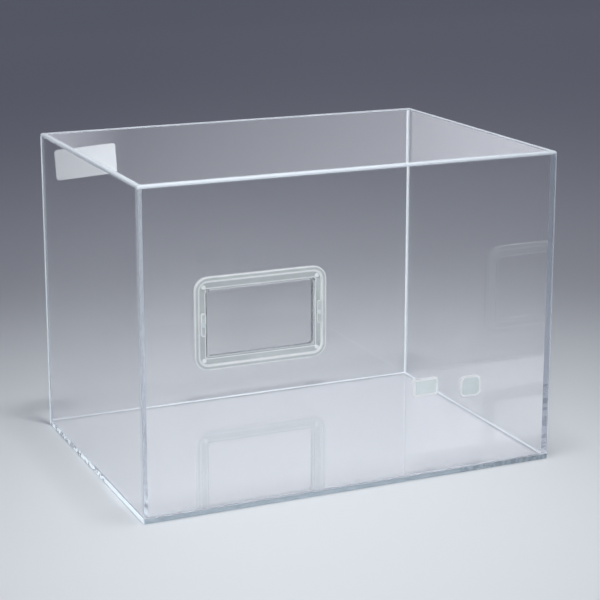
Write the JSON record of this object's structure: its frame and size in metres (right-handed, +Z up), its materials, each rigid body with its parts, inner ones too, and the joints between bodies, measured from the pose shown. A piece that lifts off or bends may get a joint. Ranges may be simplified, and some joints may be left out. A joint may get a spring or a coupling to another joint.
{
  "type": "gel electrophoresis tank",
  "caption": "Open-topped clear acrylic tank with a framed, top-hung window low in its back wall, held by turn catches, and a blank name plate.",
  "frame": {"origin": "middle of the underside of the bottom panel", "axes": "+X along the tank's length, +Y towards the wall with the window, +Z up"},
  "size_m": [0.32, 0.23, 0.235],
  "materials": {
    "clear_acrylic": "polished cast acrylic, clear, with flame-polished edges",
    "clear_moulding": "moulded clear plastic with a faint grey-green tint",
    "silicone": "translucent silicone sheet",
    "nylon": "natural nylon, slightly translucent",
    "stainless_steel": "ground pin",
    "satin_aluminium": "satin, brushed along its length",
    "tape": "thin double-sided tape"
  },
  "bodies": {
    "tank": {"bottom_panel": "clear_acrylic", "front_wall": "clear_acrylic", "back_wall": "clear_acrylic", "left_wall": "clear_acrylic", "right_wall": "clear_acrylic", "left_pad": "clear_moulding", "right_pad": "clear_moulding", "window_bezel": "clear_moulding", "window_gasket": "silicone", "bezel_screws": "nylon", "catch_pivots": "nylon", "hinge_pins": "stainless_steel", "label_plate": "satin_aluminium", "label_tape": "tape"},
    "window": {"window_pane": "clear_acrylic"},
    "left_turn_catch": {"left_catch": "clear_moulding"},
    "right_turn_catch": {"right_catch": "clear_moulding"}
  },
  "joints": [
    {"name": "window_hinge", "type": "hinge", "parent": "tank", "child": "window", "pos_m": [0.02, 0.10905, 0.0971], "axis": [-1, 0, 0], "range_deg": [0, 100]},
    {"name": "left_catch_turn", "type": "hinge", "parent": "tank", "child": "left_turn_catch", "pos_m": [-0.0319, 0.1067, 0.0695], "axis": [0, -1, 0], "range_deg": [-90, 90]},
    {"name": "right_catch_turn", "type": "hinge", "parent": "tank", "child": "right_turn_catch", "pos_m": [0.0719, 0.1067, 0.0695], "axis": [0, -1, 0], "range_deg": [-90, 90]}
  ]
}
